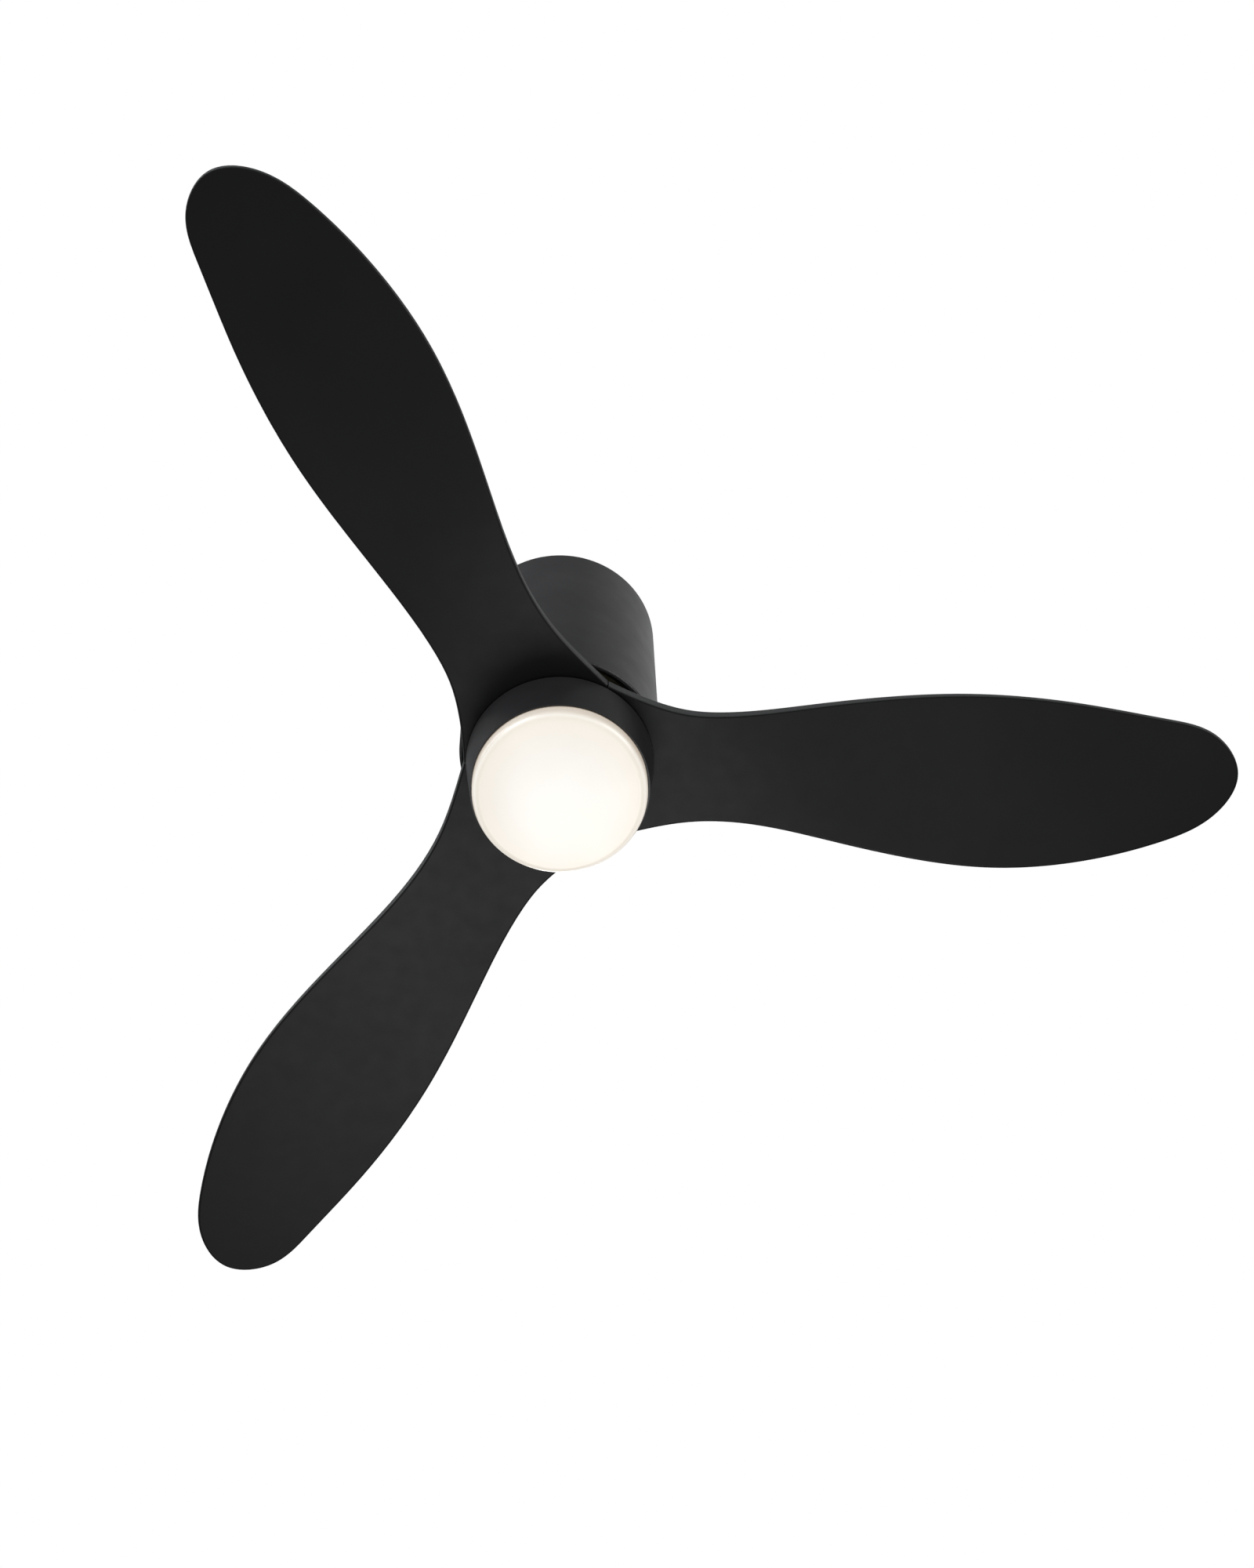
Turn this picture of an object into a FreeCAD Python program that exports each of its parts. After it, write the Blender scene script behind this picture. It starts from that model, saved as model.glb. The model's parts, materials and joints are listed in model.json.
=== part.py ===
import FreeCAD, Part
import math
import os

from FreeCAD import Rotation
from FreeCAD import Vector as V

# Three-blade ceiling fan with a light, built as the separate pieces it comes apart into.
# Millimetres. The origin is the centre of the ceiling face and +Z points up into the ceiling,
# so the whole fan hangs below z = 0. The rotor turns about Z. Blade 1 points along +X.

os.makedirs("parts", exist_ok=True)

UP = V(0, 0, 1)
CENTRE = V(0, 0, 0)

# ---------------------------------------------------------------- driving sizes

# Overall
BLADE_TIP_R = 660.0          # rotor centre to blade tip
BLADE_COUNT = 3
CEILING_TO_BLADE = 320.0     # ceiling down to the flat underside of the blade roots
HOUSING_R = 98.0             # outside of the drum housing

# Clearances and fits
THREAD_CLEAR = 0.05          # thread in a tapped hole
HOLE_CLEAR = 0.3             # screw in a plain hole
FIT_CLEAR = 0.03             # pieces pressed or slid together
SHAFT_CLEAR = 0.05           # spacers, washers and carrier on the shaft
RACE_CLEAR = 0.07            # ball to race, and ball to cage pocket

# Screws: thread radius, head radius, head height
M3 = (1.5, 2.8, 1.8)
M4 = (2.0, 3.8, 2.2)
M5 = (2.5, 4.6, 2.6)
M6 = (3.0, 5.0, 4.0)

# Ceiling bracket
BRACKET_T = 3.0
BRACKET_W = 60.0
BRACKET_GAP = 1.3            # bracket tab to the inside of the housing
TAB_W = 24.0
TAB_H = 24.0
TAB_T = 2.5
SLOT_SPACING = 88.9
SLOT_LENGTH = 12.0
SLOT_W = 5.5
WIRE_HOLE_R = 15.0
HOUSING_SCREW_Z = -14.0
GROUND_SCREW_AT = (24.0, 23.0)
TERMINAL_T = 0.8
TERMINAL_EYE_R = 4.0

# Hanger frame, a steel strap bent into a U
FRAME_T = 3.0
FRAME_HALF = 58.0            # outside of each leg
FRAME_W = 60.0
FRAME_BOLT_X = 70.0
FRAME_BOLT_Y = 18.0
FRAME_FLANGE_X = 82.0
FRAME_BASE_T = 4.0

# Housing
HOUSING_WALL = 1.2
HOUSING_BEAD_R = 2.0         # rolled bead round the bottom edge
HOUSING_TO_BLADE = 12.0      # bead down to the top of the blade roots

# Shaft
SHAFT_R = 8.5
SHAFT_BORE_R = 5.0
SHAFT_THREAD_R = 7.5
SHAFT_FLANGE_R = 24.0
SHAFT_FLANGE_T = 6.0
SHAFT_FLANGE_PCR = 18.0
SPACER_R = 12.0
SHAFT_TAIL = 14.0            # threaded end below its shoulder
RETAINER_GROOVE = 0.6
RETAINER_T = 1.2

# Motor
MOTOR_H = 96.0
MOTOR_TOP_GAP = 6.0
MOTOR_RIM_GAP = 4.0          # turning rim to the housing bead
MOTOR_RIM_W = 6.0
MOTOR_RIM_T = 3.0
COVER_T = 4.0
COVER_WALL = 6.0
BOSS_WALL = 6.0
BOSS_LIP = 4.0
RING_T = 6.0
RING_H = 32.0
MAGNET_T = 5.5
MAGNET_COUNT = 14
MAGNET_FILL = 0.82
AIR_GAP = 0.7
STACK_H = 24.0
SHOE_T = 5.8
TOOTH_L = 17.0
TOOTH_W = 11.0
TOOTH_COUNT = 12
SHOE_FILL = 0.8              # share of its pitch that a tooth's shoe covers
YOKE_T = 10.0
COIL_OVER = 5.0
COIL_GAP = 1.0
COVER_SCREWS = 6

# Ball bearings, 17 x 40 x 12
BEARING_R = 20.0
BEARING_W = 12.0
BALL_R = 3.375
BALL_PITCH_R = 14.25
BALL_COUNT = 8
CAGE_T = 1.8
CAGE_H = 8.4

# Blade hub and blades
HUB_H = 17.0
HUB_DISC_T = 8.0
HUB_R = 80.0
HUB_NECK_R = 62.0
HUB_BORE_R = 20.0
HUB_SCREW_R = 48.0
PAD_T = 1.0
BLADE_SCREW_R = 66.0
BLADE_SCREW_STEP = 32.0      # degrees between a blade's three screws
ROOT_T = 14.0
ROOT_IN_R = 36.0
SEAM_R = 93.0                # centre to the outer end of the seam between two roots
SEAM_GAP = 1.2
FLAT_TO = 104.0              # the root is flat out to here
TIP_T = 6.0
BLADE_PITCH = 9.0            # degrees at mid blade
TIP_PITCH = 6.0
CAMBER = 3.5
LEAD_W = 65.5                # blade axis to the widest point of the leading edge
TRAIL_W = 107.0              # blade axis to the widest point of the trailing edge
EDGE_ROUND = 2.2
TWIST_SHARE = 0.32           # share of the blade over which its pitch comes in
THIN_SHARE = 0.85            # share of the blade over which it thins to the tip's thickness
SHEET_MARGIN = 20.0          # how far the blade's faces reach past the outline they are cut to
SHEET_ROWS = 18
SCREW_SINK = 0.8             # blade screw heads below the blade's surface

# Driver case in the hanger frame
CASE_TOP = -74.0
CASE_H = 38.0
CASE_L = 92.0
CASE_W = 52.0
CASE_WALL = 2.0
LID_T = 2.0
EAR_T = 2.0                  # case ear against the frame's leg
EAR_H = 16.0
POST_R = 4.0                 # lid screw posts
CASE_SCREW_Y = 14.0
GROMMET_R = 7.0
CIRCUIT_T = 1.6
CIRCUIT_RISE = 6.0           # case floor to the circuit board
CIRCUIT_EDGE = 1.0           # circuit board to the case wall

# Wires
LEAD_R = 2.0
LEAD_OFFSET = 2.3
WIRE_R = 1.4
SUPPLY_X = (-26.0, -14.0, 22.0)
NUT_LOW = -40.0              # twist-on connectors
NUT_H = 20.0
NUT_ROOT_R = 5.0
NUT_TIP_R = 3.6

# Light kit
LIGHT_GAP = 4.0              # blade underside to the light kit
PAN_T = 1.5
BEZEL_TOP_R = 91.0
BEZEL_LOW_R = 86.0
BEZEL_H = 58.0
BEZEL_WALL = 1.6
BEZEL_FLANGE = 2.5
BEZEL_FLANGE_W = 13.0
STANDOFF_H = 24.0
STANDOFF_R = 60.0
BOARD_R = 74.0
BOARD_T = 1.6
CHIP_W = 3.0
CHIP_H = 0.8
CHIP_RINGS = ((22.0, 8), (43.0, 16), (67.0, 24))
CONNECTOR_X = -41.0
DRIVER_X = 35.0              # half-length of the light's driver
DRIVER_Y = (30.0, 58.0)
DRIVER_H = 22.0
DRIVER_EAR = 5.0
DRIVER_EAR_T = 2.0
NUT_T = 6.0
LOCK_T = 1.5
LENS_GAP = 0.6               # lens to the bezel's rim
LENS_DROP = 15.0             # straight side of the lens below the rim, with its corner
LENS_CORNER = 8.0
LENS_CROWN = 6.0
LENS_T = 2.2
LUG_DEG = 18.0
LEDGE_DEG = 22.0
LEDGE_T = 2.5
LEDGE_RISE = 4.5             # bezel rim up to the ledges
LUG_T = 2.4
LUG_GAP = 0.5

# ---------------------------------------------------------------- levels, from the ceiling down

Z_BRACKET = -BRACKET_T
Z_BLADE = -CEILING_TO_BLADE
Z_ROOT = Z_BLADE + ROOT_T
Z_HUB = Z_ROOT + PAD_T
Z_LIP = Z_ROOT + HOUSING_TO_BLADE
Z_MOTOR_LOW = Z_HUB + HUB_H
Z_MOTOR_TOP = Z_MOTOR_LOW + MOTOR_H
Z_MOTOR_MID = (Z_MOTOR_LOW + Z_MOTOR_TOP) / 2
Z_FLANGE = Z_MOTOR_TOP + MOTOR_TOP_GAP
Z_BASE = Z_FLANGE + SHAFT_FLANGE_T
Z_BASE_TOP = Z_BASE + FRAME_BASE_T
Z_LIGHT = Z_BLADE - LIGHT_GAP
Z_PAN = Z_LIGHT - BEZEL_FLANGE
Z_PAN_LOW = Z_PAN - PAN_T
Z_RIM = Z_LIGHT - BEZEL_H
Z_BOARD = Z_PAN_LOW - STANDOFF_H
Z_SHAFT_END = Z_LIGHT - SHAFT_TAIL
Z_CASE_LOW = CASE_TOP - CASE_H
Z_STACK_TOP = Z_MOTOR_MID + STACK_H / 2
Z_STACK_LOW = Z_MOTOR_MID - STACK_H / 2
Z_COIL_TOP = Z_STACK_TOP + COIL_OVER
Z_CARRIER_TOP = Z_MOTOR_MID + RING_H / 2
Z_CARRIER_LOW = Z_MOTOR_MID - RING_H / 2
Z_MOTOR_LEAD = Z_COIL_TOP + LEAD_R
Z_CASE_SCREW = CASE_TOP - CASE_H / 2
Z_CIRCUIT = Z_CASE_LOW + CASE_WALL + CIRCUIT_RISE
Z_PLATE_LOW = Z_LIGHT - PAN_T
Z_LEDGE = Z_RIM + LEDGE_RISE
Z_LIGHT_LEAD = Z_PAN_LOW - 18.0
Z_LED_LEAD = Z_PAN_LOW - 17.0

UPPER_BEARING_Z = Z_MOTOR_TOP - 7.0 - BEARING_W / 2
LOWER_BEARING_Z = Z_MOTOR_LOW + 12.0 + BEARING_W / 2
WASHER_T = 0.9

# ---------------------------------------------------------------- radii worked out from the above

HOUSING_IN_R = HOUSING_R - HOUSING_WALL
RIM_R = HOUSING_R - 2 * HOUSING_BEAD_R - MOTOR_RIM_GAP
COVER_R = RIM_R - MOTOR_RIM_W
RING_R = COVER_R - COVER_WALL
MAGNET_R = RING_R - RING_T
MAGNET_IN_R = MAGNET_R - MAGNET_T
STATOR_R = MAGNET_IN_R - AIR_GAP
YOKE_R = STATOR_R - SHOE_T - TOOTH_L
CARRIER_R = YOKE_R - YOKE_T
COVER_SCREW_R = COVER_R - COVER_WALL / 2
LIP_R = BEARING_R - BOSS_LIP
LENS_R = BEZEL_LOW_R - BEZEL_WALL - LENS_GAP
SKIRT_R = LENS_R - LENS_T
LEDGE_IN_R = LENS_R - LENS_T + LENS_GAP
BEZEL_SCREW_R = BEZEL_TOP_R - BEZEL_WALL - BEZEL_FLANGE_W / 2
PAN_R = BEZEL_TOP_R - BEZEL_WALL - 1.0
TAB_X = HOUSING_IN_R - BRACKET_GAP
LEG_IN_X = FRAME_HALF - FRAME_T
LEAD_HOLE_R = LEAD_OFFSET + LEAD_R + 0.7
DRIVER_EAR_X = DRIVER_X + DRIVER_EAR
DRIVER_MID_Y = (DRIVER_Y[0] + DRIVER_Y[1]) / 2


# ---------------------------------------------------------------- shape helpers

def cyl(r, z_low, z_high, x=0.0, y=0.0):
    """Upright cylinder between two heights."""
    return Part.makeCylinder(r, z_high - z_low, V(x, y, z_low), UP)


def tube(r_in, r_out, z_low, z_high):
    """Upright ring about the fan's axis."""
    return cyl(r_out, z_low, z_high).cut(cyl(r_in, z_low - 1, z_high + 1))


def rod(r, start, end):
    """Cylinder from one point to another."""
    run = end - start
    return Part.makeCylinder(r, run.Length, start, run)


def box(x, y, z):
    """Block from three (low, high) pairs."""
    return Part.makeBox(x[1] - x[0], y[1] - y[0], z[1] - z[0], V(x[0], y[0], z[0]))


def hexagon(flats, z_low, z_high, x=0.0, y=0.0):
    """Upright hexagonal bar of a given width across its flats."""
    r = flats / math.sqrt(3)
    corners = [V(x + r * math.cos(math.radians(60 * i)), y + r * math.sin(math.radians(60 * i)), z_low)
               for i in range(7)]
    return Part.Face(Part.makePolygon(corners)).extrude(V(0, 0, z_high - z_low))


def spun(profile):
    """Closed outline of (radius, height) points turned about the fan's axis."""
    corners = [V(r, 0, z) for r, z in profile]
    return Part.Face(Part.makePolygon(corners + corners[:1])).revolve(CENTRE, UP, 360)


def turned(shape, degrees):
    """A copy turned about the fan's axis."""
    copy = shape.copy()
    copy.rotate(CENTRE, UP, degrees)
    return copy


def around(shape, count, start=0.0):
    """Equally spaced copies about the fan's axis."""
    return [turned(shape, start + 360.0 * i / count) for i in range(count)]


def wedge(r_in, r_out, z_low, z_high, degrees):
    """Part of a ring, centred on +X."""
    face = Part.Face(Part.makePolygon([V(r_in, 0, z_low), V(r_out, 0, z_low), V(r_out, 0, z_high),
                                       V(r_in, 0, z_high), V(r_in, 0, z_low)]))
    return turned(face.revolve(CENTRE, UP, degrees), -degrees / 2)


def placed(shape, at, axis):
    """An upright shape made at the origin, moved to a point with its +Z along an axis."""
    copy = shape.copy()
    copy.Placement = FreeCAD.Placement(at, Rotation(UP, axis))
    return copy


def screw(size, length, at, axis):
    """Pan-head screw with a cross recess: its head sits on the point and its shank runs along the axis."""
    thread_r, head_r, head_h = size
    head = Part.makeCylinder(head_r, head_h, V(0, 0, -head_h), UP)
    head = head.makeFillet(0.45 * head_h, [edge for edge in head.Edges
                                           if edge.BoundBox.ZMax < -0.5 * head_h])
    shank = Part.makeCylinder(thread_r, length, CENTRE, UP)
    slot_w = 0.22 * head_r
    arm = 0.6 * head_r
    depth = (-head_h - 1, -0.45 * head_h)
    recess = box((-arm, arm), (-slot_w, slot_w), depth).fuse(box((-slot_w, slot_w), (-arm, arm), depth))
    return placed(head.fuse(shank).cut(recess), at, axis)


def route(points, bend):
    """Straight runs joined by tangent arcs of one radius."""
    edges = []
    start = points[0]
    for before, corner, after in zip(points, points[1:], points[2:]):
        into = (corner - before).normalize()
        out = (after - corner).normalize()
        turn = into.getAngle(out)
        back = bend * math.tan(turn / 2)
        arc_start = corner - into * back
        arc_end = corner + out * back
        inward = (out - into).normalize()
        middle = corner + inward * (bend / math.cos(turn / 2) - bend)
        if (arc_start - start).Length > 1e-6:
            edges.append(Part.LineSegment(start, arc_start).toShape())
        edges.append(Part.Arc(arc_start, middle, arc_end).toShape())
        start = arc_end
    edges.append(Part.LineSegment(start, points[-1]).toShape())
    return Part.Wire(edges)


def lead(points, r, bend):
    """Round insulated wire along a route."""
    first = (points[1] - points[0]).normalize()
    ring = Part.Wire(Part.Circle(points[0], first, r).toShape())
    return route(points, bend).makePipeShell([ring], True, False)


def save(name, pieces):
    """Write one node: one solid, or a group of separate solids."""
    shape = Part.makeCompound(pieces) if isinstance(pieces, list) else pieces
    shape.exportStep("parts/" + name + ".step")


# ---------------------------------------------------------------- ceiling bracket and hanger frame

def mounting_bracket():
    reach = math.hypot(TAB_X, TAB_W / 2)
    plate = box((-TAB_X, TAB_X), (-BRACKET_W / 2, BRACKET_W / 2), (Z_BRACKET, 0))
    plate = plate.common(cyl(reach, Z_BRACKET, 0))
    tab = box((TAB_X - TAB_T, TAB_X), (-TAB_W / 2, TAB_W / 2), (-TAB_H, Z_BRACKET))
    slot = box((-(SLOT_LENGTH - SLOT_W) / 2, (SLOT_LENGTH - SLOT_W) / 2), (-SLOT_W / 2, SLOT_W / 2),
               (Z_BRACKET - 1, 1))
    for side in (-1, 1):
        slot = slot.fuse(cyl(SLOT_W / 2, Z_BRACKET - 1, 1, side * (SLOT_LENGTH - SLOT_W) / 2, 0))
    tapped = M4[0] + THREAD_CLEAR
    for side in (-1, 1):
        plate = plate.fuse(tab if side > 0 else turned(tab, 180))
        end_slot = slot.copy()
        end_slot.translate(V(side * SLOT_SPACING / 2, 0, 0))
        plate = plate.cut(end_slot)
    plate = plate.cut(rod(tapped, V(-HOUSING_R, 0, HOUSING_SCREW_Z), V(HOUSING_R, 0, HOUSING_SCREW_Z)))
    for x in (-FRAME_BOLT_X, FRAME_BOLT_X):
        for y in (-FRAME_BOLT_Y, FRAME_BOLT_Y):
            plate = plate.cut(cyl(M6[0] + THREAD_CLEAR, Z_BRACKET - 1, 1, x, y))
    plate = plate.cut(cyl(tapped, Z_BRACKET - 1, 1, *GROUND_SCREW_AT))
    return plate.cut(cyl(WIRE_HOLE_R, Z_BRACKET - 1, 1)).removeSplitter()


def hanger_frame():
    half_w = FRAME_W / 2
    outer = box((-FRAME_HALF, FRAME_HALF), (-half_w, half_w), (Z_BASE, Z_BRACKET))
    inner = box((-FRAME_HALF + FRAME_T, FRAME_HALF - FRAME_T), (-half_w - 1, half_w + 1),
                (Z_BASE_TOP, Z_BRACKET + 1))
    frame = outer.cut(inner)
    bends = [edge for edge in frame.Edges
             if edge.BoundBox.ZMax < Z_BASE + 0.1 and edge.BoundBox.XLength < 0.1]
    frame = frame.makeFillet(2 * FRAME_T, bends)
    flange = box((FRAME_HALF - FRAME_T, FRAME_FLANGE_X), (-half_w, half_w), (Z_BRACKET - FRAME_T, Z_BRACKET))
    frame = frame.fuse([flange, turned(flange, 180)])
    for x in (-FRAME_BOLT_X, FRAME_BOLT_X):
        for y in (-FRAME_BOLT_Y, FRAME_BOLT_Y):
            frame = frame.cut(cyl(M6[0] + HOLE_CLEAR, Z_BRACKET - 2 * FRAME_T, 0, x, y))
    frame = frame.cut(cyl(SHAFT_R + HOLE_CLEAR, Z_BASE - 1, Z_BASE_TOP + 1))
    hole = cyl(M5[0] + HOLE_CLEAR, Z_BASE - 1, Z_BASE_TOP + 1, SHAFT_FLANGE_PCR, 0)
    frame = frame.cut(around(hole, 4, 45))
    return frame.cut(case_screw_holes(M3[0] + HOLE_CLEAR)).removeSplitter()


def frame_bolts():
    bolts = []
    head_low = Z_BRACKET - FRAME_T - M6[2]
    for x in (-FRAME_BOLT_X, FRAME_BOLT_X):
        for y in (-FRAME_BOLT_Y, FRAME_BOLT_Y):
            head = hexagon(2 * M6[1], head_low, head_low + M6[2], x, y)
            bolts.append(head.fuse(cyl(M6[0], head_low + M6[2] - 0.1, -0.4, x, y)).removeSplitter())
    return bolts


# ---------------------------------------------------------------- housing

def housing():
    bead_r = HOUSING_R - HOUSING_BEAD_R
    bead_z = Z_LIP + HOUSING_BEAD_R
    shell = tube(HOUSING_IN_R, HOUSING_R, bead_z, 0)
    bead = Part.makeTorus(bead_r, HOUSING_BEAD_R, V(0, 0, bead_z), UP)
    shell = shell.fuse(bead)
    sink = Part.makeCone(M4[0] + HOLE_CLEAR, M4[1] + HOLE_CLEAR, HOUSING_WALL,
                         V(HOUSING_IN_R, 0, HOUSING_SCREW_Z), V(1, 0, 0))
    hole = sink.fuse(rod(M4[0] + HOLE_CLEAR, V(HOUSING_IN_R - 2, 0, HOUSING_SCREW_Z),
                         V(HOUSING_R + 2, 0, HOUSING_SCREW_Z)))
    return shell.cut([hole, turned(hole, 180)])


def housing_screws():
    tip = TAB_X - TAB_T - 3
    head = Part.makeCone(M4[0], M4[1], HOUSING_WALL, V(HOUSING_IN_R, 0, HOUSING_SCREW_Z), V(1, 0, 0))
    body = rod(M4[0], V(tip, 0, HOUSING_SCREW_Z), V(HOUSING_IN_R, 0, HOUSING_SCREW_Z))
    slot = box((HOUSING_R - 0.7, HOUSING_R + 1), (-0.5, 0.5), (HOUSING_SCREW_Z - 4, HOUSING_SCREW_Z + 4))
    one = body.fuse(head).cut(slot)
    return around(one, 2)


# ---------------------------------------------------------------- shaft and what is fixed on it

def lead_window():
    """Slot in the shaft's wall where the motor lead comes out."""
    top = Z_MOTOR_LEAD + 4 * LEAD_R
    r = LEAD_R + HOLE_CLEAR
    window = rod(r, V(-2 * SPACER_R, 0, Z_MOTOR_LEAD), V(-1, 0, Z_MOTOR_LEAD))
    tall = box((-SHAFT_R - 1, -1), (-r, r), (Z_MOTOR_LEAD, top))
    return window.fuse(tall)


def motor_shaft():
    flange = cyl(SHAFT_FLANGE_R, Z_FLANGE, Z_BASE)
    spigot = cyl(SHAFT_R, Z_BASE, Z_BASE_TOP)
    shaft = flange.fuse([spigot, cyl(SHAFT_R, Z_LIGHT, Z_FLANGE), cyl(SHAFT_THREAD_R, Z_SHAFT_END, Z_LIGHT)])
    groove_z = LOWER_BEARING_Z - BEARING_W / 2
    groove = tube(SHAFT_R - RETAINER_GROOVE, SHAFT_R + 1, groove_z - RETAINER_T - SHAFT_CLEAR, groove_z)
    shaft = shaft.cut([groove, cyl(SHAFT_BORE_R, Z_SHAFT_END - 1, Z_BASE_TOP + 1), lead_window()])
    tapped = cyl(M5[0] + THREAD_CLEAR, Z_FLANGE - 1, Z_BASE + 1, SHAFT_FLANGE_PCR, 0)
    return shaft.cut(around(tapped, 4, 45)).removeSplitter()


def flange_screws():
    length = FRAME_BASE_T + SHAFT_FLANGE_T - 0.5
    one = screw(M5, length, V(SHAFT_FLANGE_PCR, 0, Z_BASE_TOP), V(0, 0, -1))
    return around(one, 4, 45)


def shaft_spacers():
    """Three sleeves that set the bearings and the stator apart along the shaft."""
    spans = [(UPPER_BEARING_Z + BEARING_W / 2, Z_FLANGE),
             (Z_CARRIER_TOP, UPPER_BEARING_Z - BEARING_W / 2),
             (LOWER_BEARING_Z + BEARING_W / 2, Z_CARRIER_LOW)]
    return [tube(SHAFT_R + SHAFT_CLEAR, SPACER_R, low, high).cut(lead_window()) for low, high in spans]


def retaining_ring():
    """Open circlip in the shaft's groove, under the lower bearing."""
    top = LOWER_BEARING_Z - BEARING_W / 2
    ring = tube(SHAFT_R - RETAINER_GROOVE + SHAFT_CLEAR, SPACER_R, top - RETAINER_T, top)
    return ring.cut(box((0, 2 * SPACER_R), (-2, 2), (top - 2 * RETAINER_T, top + 1)))


def stator_carrier():
    """Aluminium spider that holds the iron core on the shaft."""
    hub = tube(SHAFT_R + SHAFT_CLEAR, SPACER_R + 2, Z_CARRIER_LOW, Z_CARRIER_TOP)
    web = tube(SPACER_R, CARRIER_R - 2, Z_MOTOR_MID - 4, Z_MOTOR_MID + 4)
    rim = tube(CARRIER_R - 3, CARRIER_R, Z_STACK_LOW, Z_STACK_TOP)
    hole_r = (CARRIER_R - SPACER_R) / 5
    hole = cyl(hole_r, Z_CARRIER_LOW, Z_CARRIER_TOP, (CARRIER_R + SPACER_R) / 2, 0)
    return hub.fuse([web, rim]).cut(around(hole, 6, 30)).removeSplitter()


def stator_core():
    yoke = tube(CARRIER_R + FIT_CLEAR, YOKE_R, Z_STACK_LOW, Z_STACK_TOP)
    tooth = box((YOKE_R - 2, STATOR_R - SHOE_T / 2), (-TOOTH_W / 2, TOOTH_W / 2), (Z_STACK_LOW, Z_STACK_TOP))
    shoe = wedge(STATOR_R - SHOE_T, STATOR_R, Z_STACK_LOW, Z_STACK_TOP, SHOE_FILL * 360 / TOOTH_COUNT)
    return yoke.fuse(around(tooth.fuse(shoe), TOOTH_COUNT)).removeSplitter()


def stator_windings():
    """One copper coil round each tooth."""
    start = YOKE_R + COIL_GAP
    end = (STATOR_R - SHOE_T) * math.cos(math.radians(SHOE_FILL * 180 / TOOTH_COUNT)) - COIL_GAP
    slot_pitch = 2 * start * math.tan(math.pi / TOOTH_COUNT)
    half = (slot_pitch - COIL_GAP) / 2
    coil = box((start, end), (-half, half), (Z_STACK_LOW - COIL_OVER, Z_COIL_TOP))
    corners = [edge for edge in coil.Edges if edge.BoundBox.XLength > 1]
    coil = coil.makeFillet(2.0, corners)
    half_tooth = TOOTH_W / 2 + 0.2
    core = box((start - 1, end + 1), (-half_tooth, half_tooth), (Z_STACK_LOW - 0.3, Z_STACK_TOP + 0.3))
    return around(coil.cut(core), TOOTH_COUNT)


# ---------------------------------------------------------------- ball bearings

def bearing(name, z):
    low = z - BEARING_W / 2
    high = z + BEARING_W / 2
    groove = Part.makeTorus(BALL_PITCH_R, BALL_R + RACE_CLEAR, V(0, 0, z), UP)
    shoulder = 0.65 * BALL_R
    inner = tube(SHAFT_R + FIT_CLEAR, BALL_PITCH_R - shoulder, low, high).cut(groove)
    outer = tube(BALL_PITCH_R + shoulder, BEARING_R, low, high).cut(groove)
    ball = Part.makeSphere(BALL_R, V(BALL_PITCH_R, 0, z))
    band = tube(BALL_PITCH_R - CAGE_T / 2, BALL_PITCH_R + CAGE_T / 2, z - CAGE_H / 2, z + CAGE_H / 2)
    window = rod(BALL_R + RACE_CLEAR, V(BALL_PITCH_R - CAGE_T, 0, z), V(BALL_PITCH_R + CAGE_T, 0, z))
    save(name + "_bearing_inner", inner)
    save(name + "_bearing_outer", outer)
    save(name + "_bearing_balls", around(ball, BALL_COUNT, 11.0))
    save(name + "_bearing_cage", band.cut(around(window, BALL_COUNT, 11.0)))


# ---------------------------------------------------------------- rotor

def cover_half(z_out, z_mid, z_bearing_out, z_bearing_in):
    """Dished motor cover: end plate, skirt and a bearing boss, as an outline from outside inwards."""
    step = COVER_T if z_out < z_mid else -COVER_T
    z_in = z_out + step
    boss_r = BEARING_R + BOSS_WALL
    seat_r = BEARING_R + FIT_CLEAR
    return spun([(LIP_R, z_out), (COVER_R, z_out), (COVER_R, z_mid), (RING_R, z_mid), (RING_R, z_in),
                 (boss_r, z_in), (boss_r, z_bearing_in), (seat_r, z_bearing_in), (seat_r, z_bearing_out),
                 (LIP_R, z_bearing_out)])


def rotor_upper_cover():
    cover = cover_half(Z_MOTOR_TOP, Z_MOTOR_MID, UPPER_BEARING_Z + BEARING_W / 2 + WASHER_T,
                       UPPER_BEARING_Z - BEARING_W / 2)
    vent = wedge(BEARING_R + 2 * BOSS_WALL, RING_R - 8, Z_MOTOR_TOP - 2 * COVER_T, Z_MOTOR_TOP + 1, 26)
    cover = cover.cut(around(vent, 6, 30))
    hole = cyl(M4[0] + HOLE_CLEAR, Z_MOTOR_MID - 1, Z_MOTOR_TOP + 1, COVER_SCREW_R, 0)
    return cover.cut(around(hole, COVER_SCREWS))


def rotor_lower_cover():
    cover = cover_half(Z_MOTOR_LOW, Z_MOTOR_MID, LOWER_BEARING_Z - BEARING_W / 2,
                       LOWER_BEARING_Z + BEARING_W / 2)
    rim = tube(COVER_R - 1, RIM_R, Z_MOTOR_LOW, Z_MOTOR_LOW + MOTOR_RIM_T)
    cover = cover.fuse(rim).removeSplitter()
    tapped = cyl(M4[0] + THREAD_CLEAR, Z_MOTOR_LOW + COVER_T, Z_MOTOR_MID + 1, COVER_SCREW_R, 0)
    cover = cover.cut(around(tapped, COVER_SCREWS))
    hub_hole = cyl(M5[0] + THREAD_CLEAR, Z_MOTOR_LOW - 1, Z_MOTOR_LOW + COVER_T + 1, HUB_SCREW_R, 0)
    return cover.cut(around(hub_hole, COVER_SCREWS, 30))


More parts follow.
